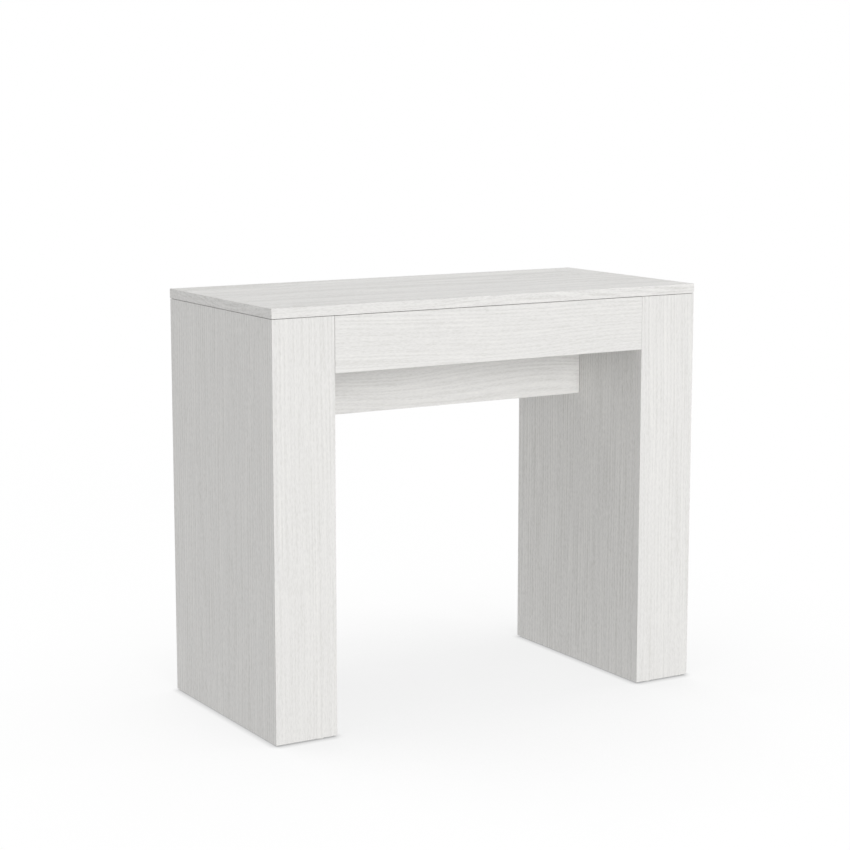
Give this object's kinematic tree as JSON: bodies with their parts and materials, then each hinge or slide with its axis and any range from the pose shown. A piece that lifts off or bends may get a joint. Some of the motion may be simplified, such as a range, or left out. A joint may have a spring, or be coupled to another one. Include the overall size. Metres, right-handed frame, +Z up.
{
  "type": "extending console table",
  "caption": "Narrow white wood-grain console table with panel legs, whose front frame and top slide forward on telescopic rails to take loose leaves.",
  "frame": {"origin": "on the floor, under the middle of the closed table", "axes": "+Z up, +X along the long side, front of the table towards -Y"},
  "size_m": [0.9, 0.42, 0.77],
  "materials": {
    "white_ash_laminate": "white ash grain melamine, satin",
    "aluminium_extrusion": "natural anodised extrusion",
    "nylon": "black nylon",
    "zinc_plated_steel": "bright zinc plated",
    "beech": "plain beech dowel, raw",
    "moulded_plastic": "light grey moulded polyethylene"
  },
  "bodies": {
    "rear_frame": {"inner_panel_left": "white_ash_laminate", "inner_panel_right": "white_ash_laminate", "rear_pilaster_left": "white_ash_laminate", "rear_pilaster_right": "white_ash_laminate", "rear_apron": "white_ash_laminate", "crosspiece": "white_ash_laminate", "rear_apron_dowels": "beech", "crosspiece_dowels": "beech", "rear_glides": "moulded_plastic", "fixed_rail_left": "aluminium_extrusion", "fixed_rail_right": "aluminium_extrusion", "fixed_rail_screws": "zinc_plated_steel", "bearings_1": "nylon", "rail_caps_1": "moulded_plastic"},
    "rail_stage_2": {"rail_2_left": "aluminium_extrusion", "rail_2_right": "aluminium_extrusion", "runners_2": "nylon", "bearings_2": "nylon", "rail_caps_2": "moulded_plastic"},
    "rail_stage_3": {"rail_3_left": "aluminium_extrusion", "rail_3_right": "aluminium_extrusion", "runners_3": "nylon", "bearings_3": "nylon", "rail_caps_3": "moulded_plastic"},
    "rail_stage_4": {"rail_4_left": "aluminium_extrusion", "rail_4_right": "aluminium_extrusion", "runners_4": "nylon", "bearings_4": "nylon", "rail_caps_4": "moulded_plastic"},
    "rail_stage_5": {"rail_5_left": "aluminium_extrusion", "rail_5_right": "aluminium_extrusion", "runners_5": "nylon", "bearings_5": "nylon", "rail_caps_5": "moulded_plastic"},
    "rail_stage_6": {"rail_6_left": "aluminium_extrusion", "rail_6_right": "aluminium_extrusion", "runners_6": "nylon", "bearings_6": "nylon", "rail_caps_6": "moulded_plastic"},
    "front_frame": {"table_top": "white_ash_laminate", "side_panel_left": "white_ash_laminate", "side_panel_right": "white_ash_laminate", "front_pilaster_left": "white_ash_laminate", "front_pilaster_right": "white_ash_laminate", "front_apron": "white_ash_laminate", "front_apron_dowels": "beech", "front_glides": "moulded_plastic", "top_brackets": "zinc_plated_steel", "bracket_screws": "zinc_plated_steel", "front_rail_left": "aluminium_extrusion", "front_rail_right": "aluminium_extrusion", "front_rail_screws": "zinc_plated_steel", "runners_7": "nylon", "leaf_sockets": "moulded_plastic"}
  },
  "joints": [
    {"name": "front_slide", "type": "slide", "parent": "rear_frame", "child": "front_frame", "axis": [0, -1, 0], "range_m": [0, 1.56]},
    {"name": "rail_2_slide", "type": "slide", "parent": "rear_frame", "child": "rail_stage_2", "axis": [0, -1, 0], "range_m": [0, 0.26]},
    {"name": "rail_3_slide", "type": "slide", "parent": "rear_frame", "child": "rail_stage_3", "axis": [0, -1, 0], "range_m": [0, 0.52]},
    {"name": "rail_4_slide", "type": "slide", "parent": "rear_frame", "child": "rail_stage_4", "axis": [0, -1, 0], "range_m": [0, 0.78]},
    {"name": "rail_5_slide", "type": "slide", "parent": "rear_frame", "child": "rail_stage_5", "axis": [0, -1, 0], "range_m": [0, 1.04]},
    {"name": "rail_6_slide", "type": "slide", "parent": "rear_frame", "child": "rail_stage_6", "axis": [0, -1, 0], "range_m": [0, 1.3]}
  ],
  "couplings": [
    {"joint": "rail_2_slide", "follows": "front_slide", "ratio": 0.16667},
    {"joint": "rail_3_slide", "follows": "front_slide", "ratio": 0.33333},
    {"joint": "rail_4_slide", "follows": "front_slide", "ratio": 0.5},
    {"joint": "rail_5_slide", "follows": "front_slide", "ratio": 0.66667},
    {"joint": "rail_6_slide", "follows": "front_slide", "ratio": 0.83333}
  ]
}
